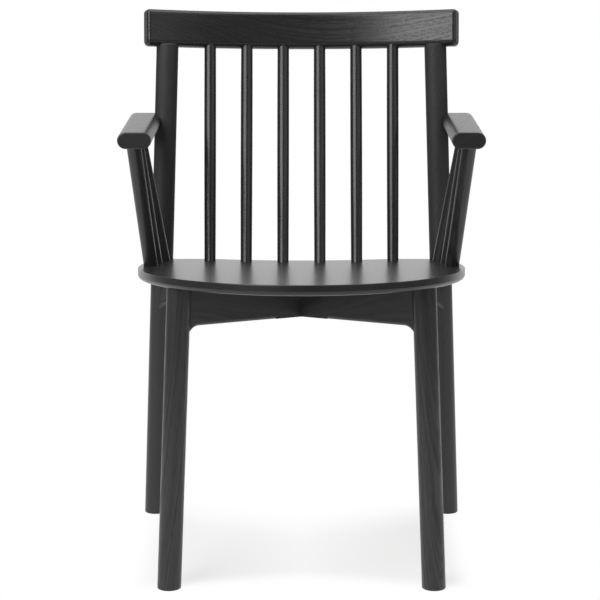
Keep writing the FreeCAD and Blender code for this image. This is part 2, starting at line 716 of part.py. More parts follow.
arm_tools = [post_room]
for place, side_name in enumerate(ARM_SPINDLE_NAMES):
    base_setback = size("arm_spindle_base_setback") + place * size("arm_spindle_base_step")
    top_setback = size("arm_spindle_top_setback") + place * size("arm_spindle_top_step")
    seat_end = on_seat(-seat_edge_x(base_setback) + size("arm_spindle_inset"), base_setback)
    arm_end = arm_centre(top_setback, size("arm_top_height") - size("arm_thickness"))
    arm_end.x -= size("arm_spindle_out")
    foot = towards(seat_end, arm_end, -size("arm_spindle_seat_depth"))
    tip = towards(arm_end, seat_end, -size("arm_spindle_arm_depth"))
    spindle = rod(f"ArmSpindle{place + 1}", foot, tip, "Sizes.arm_spindle_diameter / 2")
    node(f"arm_spindle_left_{side_name}", spindle)
    node(f"arm_spindle_right_{side_name}", mirror(f"ArmSpindleTwin{place + 1}", spindle))
    deep_foot = towards(foot, tip, -size("end_clearance"))
    deep_tip = towards(tip, foot, -size("end_clearance"))
    bore = "Sizes.arm_spindle_diameter / 2 + Sizes.fit_clearance"
    seat_tools.append(rod(f"ArmSeatBore{place + 1}", deep_foot, arm_end, bore))
    arm_tools.append(rod(f"ArmBore{place + 1}", seat_end, deep_tip, bore))

post_at_arm = where_at_height(post_bend, post_top, arm_middle)
dowel_face = Vector(post_at_arm.x - size("post_diameter") / 2, post_at_arm.y, arm_middle)
dowel_inner = dowel_face + Vector(size("arm_dowel_in_post"), 0, 0)
dowel_outer = dowel_face - Vector(size("arm_dowel_in_arm"), 0, 0)
dowel_spare = Vector(size("end_clearance"), 0, 0)
arm_dowel = rod("ArmDowel", dowel_inner, dowel_outer, "Sizes.arm_dowel_diameter / 2")
arm_dowel_hole = rod("ArmDowelHole", dowel_inner + dowel_spare, dowel_outer - dowel_spare,
                     "Sizes.arm_dowel_diameter / 2 + Sizes.fit_clearance")
arm = node("armrest_left", cut("ArmLeft", arm_blank, arm_tools + [arm_dowel_hole]))
node("armrest_right", mirror("ArmRight", arm))
node("arm_dowels", group("ArmDowels", [arm_dowel, mirror("ArmDowelTwin", arm_dowel)]))


# Cross rails: from each front leg to the opposite rear leg, parallel to the seat, halved at the crossing

rail_middle_depth = size("seat_thickness") + size("rail_height") / 2
rail_front = where_at_depth(front_foot, front_top, rail_middle_depth)
left_rear = where_at_depth(rear_foot, post_bend, rail_middle_depth)
rail_rear = Vector(-left_rear.x, left_rear.y, left_rear.z)
rail_way = (rail_rear - rail_front).normalize()
rail_side = seat_up.cross(rail_way)
rail_length = rail_front.distanceToPoint(rail_rear)
rail_origin = rail_front + seat_up * (size("rail_height") / 2)
rail_place = frame(rail_origin, rail_way, rail_side, seat_up)
rail_crossing = -rail_front.x / rail_way.x


def leg_place(foot, top, below):
    """How far along the rail a leg's middle lies, at a depth under the rail's top."""
    spot = where_at_depth(foot, top, size("seat_thickness") + below)
    return rail_place.inverse().multVec(spot).x


def flare(foot, top, way, tip):
    """The rail's outline at a leg: three points inside the leg, then the flare's tip, middle and foot."""
    radius, turn = size("rail_flare_radius"), radians(size("rail_flare_turn"))
    run = size("rail_flare_run")
    low = size("rail_height")
    tip_low = low + radius * (1 - cos(turn))
    tip_x = leg_place(foot, top, tip_low) + way * tip
    centre = tip_x + way * radius * sin(turn)
    middle = (centre - way * radius * sin(turn / 2), -low - radius * (1 - cos(turn / 2)))
    inside = (tip_x - way * run * cos(turn), -tip_low - run * sin(turn))
    end_top = (leg_place(foot, top, 0), 0)
    end_low = (leg_place(foot, top, -inside[1]) - way * size("rail_past_axis"), inside[1])
    return [end_top, end_low, inside, (tip_x, -tip_low), middle, (centre, -low)]


def make_rail_blank():
    """The rail before its ends are shaped: flared towards both legs and rounded below."""
    far_foot = Vector(-rear_foot.x, rear_foot.y, rear_foot.z)
    far_bend = Vector(-post_bend.x, post_bend.y, post_bend.z)
    front = flare(front_foot, front_top, 1, size("front_flare_tip"))
    rear = flare(far_foot, far_bend, -1, size("rear_flare_tip"))
    body = doc.addObject("PartDesign::Body", "RailBody")
    sketch = body_sketch(body, "RailSide", "XZ_Plane")
    add_chain(sketch, [
        line(front[0], front[1]),
        line(front[1], front[2]),
        line(front[2], front[3]),
        arc(front[3], front[4], front[5]),
        line(front[5], rear[5]),
        arc(rear[5], rear[4], rear[3]),
        line(rear[3], rear[2]),
        line(rear[2], rear[1]),
        line(rear[1], rear[0]),
        line(rear[0], front[0]),
    ], smooth=(2, 3, 4, 5))
    sketch.addConstraint(Sketcher.Constraint("PointOnObject", 0, 1, -1))
    for level in (1, 4, 7, 9):
        sketch.addConstraint(Sketcher.Constraint("Horizontal", level))
    dimension(sketch, "high", "Sizes.rail_height", "DistanceY", 4, 1, 9, 2, size("rail_height"))
    dimension(sketch, "front_flare", "Sizes.rail_flare_radius", "Radius", 3, size("rail_flare_radius"))
    dimension(sketch, "rear_flare", "Sizes.rail_flare_radius", "Radius", 5, size("rail_flare_radius"))
    sketch.Visibility = False
    pad = body.newObject("PartDesign::Pad", "RailPad")
    pad.Profile = sketch
    pad.setExpression("Length", "Sizes.rail_thickness")
    pad.Midplane = True
    body.Placement = rail_place
    doc.recompute()

    def is_lower(edge):
        local = rail_place.inverse().multVec(edge.CenterOfMass)
        on_side = abs(abs(local.y) - size("rail_thickness") / 2) < 1e-3
        between = front[2][0] - 1e-3 < local.x < rear[2][0] + 1e-3
        return on_side and between and local.z < -size("rail_height") + 1e-3

    rounded = round_edges("RailRound", body, size("rail_edge_round"), is_lower)
    half_t, half_run = size("rail_thickness") / 2, size("rail_square_stretch") / 2
    square = block(
        "RailSquare", rail_place,
        Vector(rail_crossing - half_run, -half_t, -size("rail_height")),
        Vector(rail_crossing + half_run, half_t, -size("rail_height") / 2),
    )
    return fuse("RailBlank", [rounded, square])


def tenon_block(name, leg_x, way, spare):
    """A rail's tenon, or with spare the mortise for it, in the rail's frame."""
    half_t = size("tenon_thickness") / 2 + spare
    half_h = size("tenon_height") / 2 + spare
    deep = leg_x - way * (size("tenon_past_axis") + (size("end_clearance") if spare else 0))
    outer = leg_x + way * size("leg_diameter")
    middle = -size("rail_height") / 2
    low = Vector(min(deep, outer), -half_t, middle - half_h)
    high = Vector(max(deep, outer), half_t, middle + half_h)
    return block(name, rail_place, low, high)


def lap_block(name, place, upper):
    """The half of a rail's height, as wide as a rail, that the other rail gives up at the crossing."""
    half_t = size("rail_thickness") / 2 + size("fit_clearance")
    middle = -size("rail_height") / 2
    spare = size("fit_clearance") / 2
    low = Vector(0, -half_t, middle - spare if upper else -size("rail_height") - OVERSHOOT)
    high = Vector(rail_length, half_t, OVERSHOOT if upper else middle + spare)
    return block(name, place, low, high)


twin_way = Vector(-rail_way.x, rail_way.y, rail_way.z)
twin_origin = Vector(-rail_origin.x, rail_origin.y, rail_origin.z)
twin_place = frame(twin_origin, twin_way, seat_up.cross(twin_way), seat_up)
rail_ends = [front_room, mirror("PostRoomTwin", post_room)]
rail_shaped = cut("RailScribed", make_rail_blank(), rail_ends)
rail_with_tenons = fuse("RailTenoned", [
    rail_shaped,
    tenon_block("FrontTenon", 0, 1, 0.0),
    tenon_block("RearTenon", rail_length, -1, 0.0),
])
front_mortise = tenon_block("FrontMortise", 0, 1, size("fit_clearance"))
rear_mortise = mirror("RearMortiseTwin", tenon_block("RearMortise", rail_length, -1, size("fit_clearance")))


# Seat screws: up through wells in the rails into the seat

def screw_axis(along_rail, depth):
    """A point on a seat screw's line, by its place along the rail and its depth under the rail's top."""
    return rail_place.multVec(Vector(along_rail, 0, -depth))


def make_screw(name, along_rail):
    """A seat screw: a shank with a pan head."""
    shoulder = size("screw_grip")
    tip = screw_axis(along_rail, -size("screw_in_seat"))
    seat_of_head = screw_axis(along_rail, shoulder)
    shank = rod(name + "Shank", seat_of_head, tip, "Sizes.screw_diameter / 2")
    crown = screw_axis(along_rail, shoulder + size("screw_head_height"))
    head = rod(name + "Head", crown, seat_of_head, "Sizes.screw_head_diameter / 2")
    return fuse(name, [shank, head])


screws = []
screw_holes = []
for place, offset in enumerate((-size("screw_from_crossing"), size("screw_from_crossing"))):
    spot = rail_crossing + offset
    screw = make_screw(f"SeatScrew{place + 1}", spot)
    screws += [screw, mirror(f"SeatScrewTwin{place + 1}", screw)]
    hole_end = screw_axis(spot, -size("screw_in_seat") - size("end_clearance"))
    hole = rod(f"ScrewHole{place + 1}", screw_axis(spot, size("rail_height")), hole_end,
               "Sizes.screw_diameter / 2 + Sizes.fit_clearance")
    well = rod(f"ScrewWell{place + 1}", screw_axis(spot, size("rail_height") + OVERSHOOT),
               screw_axis(spot, size("screw_grip")), "Sizes.counterbore_diameter / 2")
    screw_holes += [hole, well]
    seat_tools.append(hole)
node("seat_screws", group("SeatScrews", screws))

rail_drilled = cut("RailDrilled", rail_with_tenons, screw_holes)
node("cross_rail_left", cut("CrossRailLeft", rail_drilled, [lap_block("LapBelow", twin_place, False)]))
rail_twin = mirror("RailTwin", rail_drilled)
node("cross_rail_right", cut("CrossRailRight", rail_twin, [lap_block("LapAbove", rail_place, True)]))


# Legs, finished with their mortises, wells and tenons

front_leg = cut("FrontLegLeft", front_blank, [front_mortise] + glide_well("FrontWell", front_foot))
node("front_leg_left", front_leg)
node("front_leg_right", mirror("FrontLegRight", front_leg))

post_way = (post_top - post_bend).normalize()
post_end = post_top - post_way * (size("crest_section_height") / 2 - size("post_housing"))
tenon_end = post_end + post_way * size("post_tenon_length")
post_end_place = along(post_end, post_end + post_way)
over_post = block(
    "OverPost", post_end_place,
    Vector(-OVERSHOOT, -OVERSHOOT, 0), Vector(OVERSHOOT, OVERSHOOT, 2 * OVERSHOOT),
)
post_cut = cut("PostCut", post_bar, [below_floor("UnderRearFoot", foot_level), over_post])


def is_post_rim(edge):
    """True for the edge round the top of the post."""
    return all(abs(post_end_place.inverse().multVec(v.Point).z) < 1e-3 for v in edge.Vertexes)


post_cut = round_edges("RearFootRound", post_cut, size("foot_round"), is_foot_rim)
post_cut = round_edges("PostTopRound", post_cut, size("post_top_round"), is_post_rim)
post_scribed = cut("PostScribed", post_cut, [crest_room])
tenon_root = post_end - post_way * size("crest_section_height") / 2
post_tenon = rod("PostTenon", tenon_root, tenon_end, "Sizes.post_tenon_diameter / 2")
post_tenoned = fuse("PostTenoned", [post_scribed, post_tenon])
rear_leg_tools = [rear_mortise, arm_dowel_hole] + glide_well("RearWell", rear_foot)
rear_leg = cut("RearLegLeft", post_tenoned, rear_leg_tools)
node("rear_leg_left", rear_leg)
node("rear_leg_right", mirror("RearLegRight", rear_leg))
crest_tools.append(rod("PostTenonBore", tenon_root, tenon_end + post_way * size("end_clearance"),
                       "Sizes.post_tenon_diameter / 2 + Sizes.fit_clearance"))

glides = []
for glide_name, foot in (("FrontGlide", front_foot), ("RearGlide", rear_foot)):
    glide = make_glide(glide_name, foot)
    glides += [glide, mirror(glide_name + "Twin", glide)]
node("floor_glides", group("FloorGlides", glides))


# Seat and crest rail, finished with their bores

left_seat_tools = fuse("SeatToolsLeft", [post_room] + seat_tools)
right_seat_tools = mirror("SeatToolsRight", left_seat_tools)
node("seat_panel", cut("SeatPanel", seat_blank, [left_seat_tools, right_seat_tools]))
left_crest_tools = fuse("CrestToolsLeft", crest_tools)
right_crest_tools = mirror("CrestToolsRight", left_crest_tools)
node("crest_rail", cut("CrestRail", crest_blank, [left_crest_tools, right_crest_tools]))


# Check every object and every piece, then write the pieces

doc.recompute()
for item in doc.Objects:
    if "Invalid" in item.State or "Error" in item.State:
        raise ValueError(f"{item.Label} failed: {item.State}")
for name, piece in nodes.items():
    shape = piece.Shape
    if shape.isNull() or not shape.isValid() or shape.Volume <= 0:
        raise ValueError(name + " is not a valid solid")

os.makedirs("parts", exist_ok=True)
for name, piece in nodes.items():
    piece.Shape.exportStep(f"parts/{name}.step")
    print(f"{name}: {len(piece.Shape.Solids)} solid(s), {piece.Shape.Volume / 1000:.1f} cm3")
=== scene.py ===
# %% [markdown]
# # An armchair in black-stained ash
# The chair is all round and flat sticks of ash: bent rear legs that run on up as back posts, a curved top
# rail, turned spindles and a thin seat. Its joinery was drawn as exact solids, so this lesson starts from
# those solids and does not draw them again. What is left to do here is the wood itself, the small hardware,
# the light and the camera.

# %% Load the solids
import math

import bpy
import numpy as np
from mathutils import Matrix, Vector

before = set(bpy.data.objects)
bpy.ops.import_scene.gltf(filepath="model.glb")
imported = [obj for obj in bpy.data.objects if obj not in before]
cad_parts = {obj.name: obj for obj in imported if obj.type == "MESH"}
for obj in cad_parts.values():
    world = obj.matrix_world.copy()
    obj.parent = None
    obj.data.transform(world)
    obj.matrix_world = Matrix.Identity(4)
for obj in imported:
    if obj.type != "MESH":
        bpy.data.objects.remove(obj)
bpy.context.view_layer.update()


# %% [markdown]
# ## Colours and nodes
# A colour is written the way a paint chart or a picture editor gives it, as a hex value, while Blender's
# shaders count in linear light. One function turns the first into the second. Materials are built from
# nodes, and each node needs the same three things: its settings, the values of its sockets and its links.
# One helper does all three, which keeps the recipes below short enough to read as recipes.

# %% Colour and node helpers
def linear(hex_colour):
    """Turn an sRGB hex value into linear RGBA: each channel c becomes c / 12.92 near black, and
    ((c + 0.055) / 1.055) to the power 2.4 above that."""
    channels = np.array([int(hex_colour[i:i + 2], 16) for i in (1, 3, 5)]) / 255
    light = np.where(channels <= 0.04045, channels / 12.92, ((channels + 0.055) / 1.055) ** 2.4)
    return (*light.tolist(), 1.0)


def add_node(tree, kind, values=None, links=None, **settings):
    """Add one node. settings are its own properties, values are put on its input sockets, and links join
    its input sockets to the outputs of other nodes. A socket is given by its name or its number."""
    made = tree.nodes.new(kind)
    for name, value in settings.items():
        setattr(made, name, value)
    for socket, value in (values or {}).items():
        made.inputs[socket].default_value = value
    for socket, source in (links or {}).items():
        tree.links.new(source, made.inputs[socket])
    return made


def new_material(name):
    """Start a material with an empty node tree."""
    material = bpy.data.materials.new(name)
    material.use_nodes = True
    material.node_tree.nodes.clear()
    return material, material.node_tree


def dress(piece_name, material):
    """Give a solid its material, in every slot that it has."""
    piece = bpy.data.objects[piece_name]
    for slot in piece.material_slots:
        slot.material = material


print("black of the stain in linear light:", [round(v, 4) for v in linear("#242323")[:3]])


# %% [markdown]
# ## How each stick was sawn
# Grain runs along a stick, because a stick sawn across the grain would snap. So the first thing a wood
# pattern needs is the long direction of each piece. It could be typed in for every piece, but the points of
# its mesh already know it: the direction in which they spread the most. The seat is the one exception: its
# boards are taken to run from side to side, so that the long front edge shows long grain.
#
# The rear legs are steamed and bent at the seat, and bent wood keeps its grain along the bend. For them the
# direction is measured twice, below and above the bend, and the difference is kept for the pattern to
# follow.

# %% Find the grain of each piece
HARDWARE = ("arm_dowels", "seat_screws", "floor_glides")
WOOD_NODES = sorted(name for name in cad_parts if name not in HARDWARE)
SEAT_GRAIN = Vector((1, 0, 0))
BEND_HEIGHT = 0.421  # middle of the bend in the rear legs, in metres over the floor
BEND_REACH = 0.06    # how far the bend reaches up and down from there


def points_of(piece_name):
    """All points of a mesh as an array with one row of x, y, z for each."""
    mesh = bpy.data.objects[piece_name].data
    flat = np.empty(len(mesh.vertices) * 3, dtype=np.float32)
    mesh.vertices.foreach_get("co", flat)
    return flat.reshape(-1, 3).astype(float)


def long_direction(points):
    """The middle of a set of points and the unit vector of their greatest spread: the first right singular
    vector of the points, measured from the middle of their box."""
    middle = (points.min(axis=0) + points.max(axis=0)) / 2
    spread = np.linalg.svd(points - middle, full_matrices=False)[2][0]
    return Vector(middle), Vector(spread * np.sign(spread[np.argmax(np.abs(spread))])).normalized()


def grain_of(piece_name):
    """The middle of a piece and the direction of its grain; for a rear leg, of its part below the seat."""
    points = points_of(piece_name)
    if piece_name.startswith("rear_leg"):
        points = points[points[:, 2] < BEND_HEIGHT - BEND_REACH]
    middle, along = long_direction(points)
    if piece_name == "seat_panel":
        along = SEAT_GRAIN
    return middle, along


for name in ("crest_rail", "front_leg_left", "rear_leg_left", "cross_rail_left", "armrest_left"):
    print(name, "runs along", [round(v, 2) for v in grain_of(name)[1]])


# %% [markdown]
# ## Black-stained ash
# Ash is a ring-porous wood: each spring it grows a band of wide open pores, and then a dense, smooth band.
# A water stain turns both black, and a thin satin lacquer leaves the pores open. The eye gets three things
# from that. The dense bands are a little lighter and shine more, the porous bands are darker and duller,
# and the pores themselves are fine dark grooves that run with the grain and break up the shine.
#
# A flat pattern would have to be fitted to every face of every stick. So the pattern is solid, like the
# wood: it fills space as a log does, and each piece cuts through it. The recipe starts with the place of a
# piece in its log.

# %% Lay a piece in its log
RUNOUT = 0.08  # how far the grain drifts sideways for each unit of length


def sawn_wood(tree, piece_name, cut_at):
    """Coordinates in the log that a piece was sawn from, in metres, with the pith on the Z axis and the
    middle of the piece at cut_at. No stick is sawn quite true, so its long direction leans by RUNOUT away
    from the pith. Above a bend, a point is moved back sideways by the drift of the bend times its height
    over it."""
    middle, along = grain_of(piece_name)
    lean = Vector((cut_at.x, cut_at.y, 0)).normalized() * RUNOUT + Vector((0, 0, 1))
    upright = along.rotation_difference(lean.normalized()).to_matrix()
    here = add_node(tree, "ShaderNodeTexCoord")
    log = add_node(tree, "ShaderNodeMapping",
                   {"Location": cut_at - upright @ middle, "Rotation": upright.to_euler()},
                   {"Vector": here.outputs["Object"]}, label="grain on to Z")
    if not piece_name.startswith("rear_leg"):
        return log.outputs[0]

    points = points_of(piece_name)
    post = upright @ long_direction(points[points[:, 2] > BEND_HEIGHT + BEND_REACH])[1]
    drift = Vector((post.x / post.z, post.y / post.z, 0))
    up_to_bend = along * (BEND_HEIGHT - middle.z) / along.z
    bend = (upright @ up_to_bend + cut_at).z
    height = add_node(tree, "ShaderNodeSeparateXYZ", None, {0: log.outputs[0]})
    over = add_node(tree, "ShaderNodeMath", {1: bend}, {0: height.outputs["Z"]}, operation="SUBTRACT")
    past = add_node(tree, "ShaderNodeMath", {1: 0.0, 2: BEND_REACH}, {0: over.outputs[0]},
                    operation="SMOOTH_MAX")
    straight = add_node(tree, "ShaderNodeVectorMath", {1: -drift}, {0: past.outputs[0], 2: log.outputs[0]},
                        operation="MULTIPLY_ADD", label="bend taken out")
    return straight.outputs[0]


print("the grain runs out by", round(math.degrees(math.atan(RUNOUT)), 1), "degrees")


# %% [markdown]
# ### Year rings
# A tree has wide and narrow years, so its rings are not a regular wave, which would look like corduroy. They
# are noise along one line, read off at the distance from the pith, and a slow noise lets them wander on
# their way along the stick.

# %% Year rings
RING_MM = 2.6
WANDER_MM = 60.0
WANDER_ALONG = 0.3           # how fast the rings wander along the grain, as a share of that across it
WANDER_RINGS = 5.0           # how many rings they wander by
SPRING_EDGES = (0.38, 0.62)  # levels of the noise where a spring band begins and where it is full


def year_rings(tree, wood):
    """The share of porous spring wood, from 0 to 1: noise over the distance from the pith, counted in rings
    and moved by slow noise times WANDER_RINGS, then cut into bands with soft edges."""
    across = add_node(tree, "ShaderNodeMapping", {"Scale": (1, 1, 0)}, {"Vector": wood})
    radius = add_node(tree, "ShaderNodeVectorMath", None, {0: across.outputs[0]}, operation="LENGTH")
    slow = add_node(tree, "ShaderNodeMapping", {"Scale": (1, 1, WANDER_ALONG)}, {"Vector": wood})
    wander = add_node(tree, "ShaderNodeTexNoise",
                      {"Scale": 1000 / WANDER_MM, "Detail": 2.0, "Roughness": 0.4},
                      {"Vector": slow.outputs[0]})
    aside = add_node(tree, "ShaderNodeMath", {1: WANDER_RINGS}, {0: wander.outputs["Fac"]},
                     operation="MULTIPLY")
    years = add_node(tree, "ShaderNodeMath", {1: 1000 / RING_MM},
                     {0: radius.outputs["Value"], 2: aside.outputs[0]}, operation="MULTIPLY_ADD")
    rings = add_node(tree, "ShaderNodeTexNoise", {"Scale": 1.0, "Detail": 2.0, "Roughness": 0.5},
                     {"W": years.outputs[0]}, noise_dimensions="1D")
    porous = add_node(tree, "ShaderNodeMapRange",
                      {"From Min": SPRING_EDGES[0], "From Max": SPRING_EDGES[1]},
                      {"Value": rings.outputs["Fac"]}, interpolation_type="SMOOTHSTEP")
    return porous.outputs[0]


print("years in 100 mm of trunk:", round(100 / RING_MM))


# %% [markdown]
# ### Pores
# Pores are long tubes that the saw cuts open at a slant, so a face shows them as short strokes along the
# grain. The strokes could be strewn one by one, but noise that is stretched along the grain gives thousands
# of them at once, and the rings say where they lie close. Real pores are about 0.3 mm wide, which is too
# fine to show in a picture of a whole chair, so they are drawn about 0.9 mm wide.

# %% Pores
PORE_WIDTH_MM = 0.9
PORE_LENGTH_MM = 11.0
CELLS_PER_PORE = 0.5       # one cell of noise is a pore and as much wood beside it
PORE_EDGES = (0.47, 0.62)  # levels of the noise where a pore begins and where it is deepest
SUMMER_PORES = 0.15        # pores of the dense bands, as a share of those of the spring bands


def pores_in(tree, wood, porous, open_pores):
    """How deep each point lies in an open pore, from 0 to 1: noise in cells stretched along the grain, cut to
    its highest parts, times the share of open pores at that place in the ring."""
    fine = add_node(tree, "ShaderNodeMapping",
                    {"Scale": (1000 / PORE_WIDTH_MM, 1000 / PORE_WIDTH_MM, 1000 / PORE_LENGTH_MM)},
                    {"Vector": wood})
    streaks = add_node(tree, "ShaderNodeTexNoise",
                       {"Scale": CELLS_PER_PORE, "Detail": 2.0, "Roughness": 0.6},
                       {"Vector": fine.outputs[0]})
    few = add_node(tree, "ShaderNodeMapRange", {"From Min": PORE_EDGES[0], "From Max": PORE_EDGES[1]},
                   {"Value": streaks.outputs["Fac"]})
    where = add_node(tree, "ShaderNodeMapRange",
                     {"To Min": SUMMER_PORES * open_pores, "To Max": open_pores}, {"Value": porous})
    pores = add_node(tree, "ShaderNodeMath", None, {0: few.outputs[0], 1: where.outputs[0]},
                     operation="MULTIPLY")
    return pores.outputs[0]


print("pores drawn", PORE_WIDTH_MM, "mm wide and", PORE_LENGTH_MM, "mm long")


# %% [markdown]
# ### Stain and lacquer
# The stain takes evenly in a dense band, deeper in a spring band and deepest in a pore, and over a stick it
# comes out a little lighter or darker in long patches. The lacquer is one thin satin coat. It could be a
# clear coat over the wood, but so thin a coat has no edge of its own to show, so it is the shine of the
# surface itself. It sinks into the pores, where it leaves grooves and dries duller.

# %% The stain
STAIN_PORE = "#1a1a1a"
PATCH_MM = 35.7
PATCH_ALONG = 0.12          # how fast the patches change along the grain, as a share of that across it
PATCH_LEVELS = (0.3, 0.7)   # levels of the noise that give the darkest and the lightest patch
PATCH_SHADE = (0.85, 1.15)  # what the colour is multiplied by there


def stain(tree, wood, porous, pores, dense, spring):
    """The stained colour: from dense to spring with the share of spring wood, from there to STAIN_PORE with
    the depth of the pore, times the shade of the patch."""
    broad = add_node(tree, "ShaderNodeMapping", {"Scale": (1, 1, PATCH_ALONG)}, {"Vector": wood})
    patches = add_node(tree, "ShaderNodeTexNoise",
                       {"Scale": 1000 / PATCH_MM, "Detail": 3.0, "Roughness": 0.55},
                       {"Vector": broad.outputs[0]})
    shade = add_node(tree, "ShaderNodeMapRange",
                     {"From Min": PATCH_LEVELS[0], "From Max": PATCH_LEVELS[1],
                      "To Min": PATCH_SHADE[0], "To Max": PATCH_SHADE[1]}, {"Value": patches.outputs["Fac"]})
    bands = add_node(tree, "ShaderNodeMix", {6: linear(dense), 7: linear(spring)}, {0: porous},
                     data_type="RGBA")
    pored = add_node(tree, "ShaderNodeMix", {7: linear(STAIN_PORE)}, {0: pores, 6: bands.outputs[2]},
                     data_type="RGBA")
    colour = add_node(tree, "ShaderNodeVectorMath", None, {0: pored.outputs[2], 1: shade.outputs[0]},
                      operation="MULTIPLY")
    return colour.outputs[0]


print("stain in the pores:", STAIN_PORE)

# %% The lacquer
LACQUER_IOR = 1.5
SPRING_SINKS = 0.3  # how deep a spring band lies, as a share of the depth of a pore
PORE_DULLS = 0.14   # how much rougher the lacquer dries in a pore
GROOVE_MM = 0.12


def duller_post(tree, roughness, post_dulls):
    """Add post_dulls to the roughness above the bend of a rear leg, growing evenly over the bend."""
    here = add_node(tree, "ShaderNodeTexCoord")
    height = add_node(tree, "ShaderNodeSeparateXYZ", None, {0: here.outputs["Object"]})
    above = add_node(tree, "ShaderNodeMapRange",
                     {"From Min": BEND_HEIGHT - BEND_REACH, "From Max": BEND_HEIGHT + BEND_REACH,
                      "To Max": post_dulls}, {"Value": height.outputs["Z"]})
    summed = add_node(tree, "ShaderNodeMath", None, {0: roughness, 1: above.outputs[0]}, operation="ADD")
    return summed.outputs[0]


def black_ash(piece_name, cut_at, satin, open_pores, dense, spring, post_dulls=0.0):
    """Ash for one piece: its place in the log, the roughness of its lacquer, the share of the pores that the
    lacquer left open, the stained colours of the dense bands and of the porous spring bands, and how much
    rougher the lacquer is above the bend of a rear leg."""
    material, tree = new_material("black_stained_ash_" + piece_name)
    wood = sawn_wood(tree, piece_name, cut_at)
    porous = year_rings(tree, wood)
    pores = pores_in(tree, wood, porous, open_pores)
    colour = stain(tree, wood, porous, pores, dense, spring)

    depth = add_node(tree, "ShaderNodeMath", {1: SPRING_SINKS}, {0: porous, 2: pores},
                     operation="MULTIPLY_ADD")
    lacquer = add_node(tree, "ShaderNodeMapRange",
                       {"To Min": satin, "To Max": satin + PORE_DULLS * open_pores},
                       {"Value": depth.outputs[0]})
    roughness = lacquer.outputs[0]
    if post_dulls:
        roughness = duller_post(tree, roughness, post_dulls)
    grooves = add_node(tree, "ShaderNodeBump", {"Strength": 0.5, "Distance": GROOVE_MM * open_pores / 1000},
                       {"Height": depth.outputs[0]}, invert=True)
    surface = add_node(tree, "ShaderNodeBsdfPrincipled", {"IOR": LACQUER_IOR},
                       {"Base Color": colour, "Roughness": roughness, "Normal": grooves.outputs[0]})
    add_node(tree, "ShaderNodeOutputMaterial", None, {"Surface": surface.outputs[0]})
    return material


print("grooves up to", GROOVE_MM, "mm deep")


# %% [markdown]
# ### Choosing the cuts
# Each stick lies some way out from the pith, and the way that it is turned decides whether a face shows
# straight lines or the arched figure that joiners call a cathedral. No two sticks come from the same place,
# so each gets its own turn of the log, a golden angle further on, and its own stretch of it.
#
# Stain and lacquer differ a little from one kind of stick to the next. The stained colours are partly their
# own tone and partly painted light: the cross rails, in the shade under the seat, and the legs get lighter
# colours, and the top rail and the back spindles, which the lamps light most, get darker ones. The pores of
# the seat are filled, and it mirrors the spindles that stand on it. The top rail and the front legs show the
# most open grain. The posts above the seat are duller than the rear legs below it.

# %% Stain every stick
GOLDEN_ANGLE_DEG = 137.5
PITH_NEAREST = 0.07  # metres from the pith to the middle of the stick that lies closest to it
PITH_STEP = 0.025    # how much further out the next stick lies
PITH_STEPS = 4       # after so many sticks it starts again
LOG_STEP = 0.9       # metres of log for each stick

# Each finish goes by the first word in the names of its pieces. Its colours carry painted light as well as
# stain: lighter low down and in the shade of the seat, darker high up.
FINISHES_AND_PAINTED_LIGHT = {
    "seat": dict(satin=0.285, open_pores=0.05, dense="#242323", spring="#222121"),
    "crest": dict(satin=0.228, open_pores=1.0, dense="#222121", spring="#222121"),
    "front": dict(satin=0.3, open_pores=1.0, dense="#313030", spring="#262525"),
    "rear": dict(satin=0.33, open_pores=0.5, dense="#272626", spring="#222121", post_dulls=0.32),
    # painted light: the lightest colours, for the rails that lie in the shade under the seat
    "cross": dict(satin=0.36, open_pores=0.3, dense="#3a3939", spring="#343333"),
    "armrest": dict(satin=0.335, open_pores=0.35, dense="#262525", spring="#222121"),
    "arm": dict(satin=0.33, open_pores=0.5, dense="#2e2d2d", spring="#272626"),
    # painted shade: the darkest colours, for the spindles that the lamps light most
    "back": dict(satin=0.26, open_pores=0.6, dense="#201f1f", spring="#1a1919"),
}

for number, name in enumerate(WOOD_NODES):
    turn = math.radians(GOLDEN_ANGLE_DEG * number)
    reach = PITH_NEAREST + PITH_STEP * (number % PITH_STEPS)
    cut_at = Vector((reach * math.cos(turn), reach * math.sin(turn), LOG_STEP * number))
    finish_and_painted_light = FINISHES_AND_PAINTED_LIGHT[name.split("_")[0]]
    dress(name, black_ash(name, cut_at, **finish_and_painted_light))
print("pieces in black ash:", len(WOOD_NODES))


# %% [markdown]
# ## Hardware
# Three kinds of small part are not black ash. They hide in the joints or under the feet, but the chair is
# looked at from below as well.
#
# Beech dowels hold the arms in the posts, with a plain surface that nobody stained, because glue needs bare
# wood. Beech has no bold rings, only short dark flecks, so stretched noise alone is enough for it.

# %% Beech dowels
FLECK_WIDTH_MM = 0.5
FLECK_LENGTH_MM = 6.0
CELLS_PER_FLECK = 0.5      # one cell of noise is a fleck and as much wood beside it
FLECK_EDGES = (0.45, 0.7)  # levels of the noise where a fleck begins and where it is darkest
FLECK_DEPTH_MM = 0.1


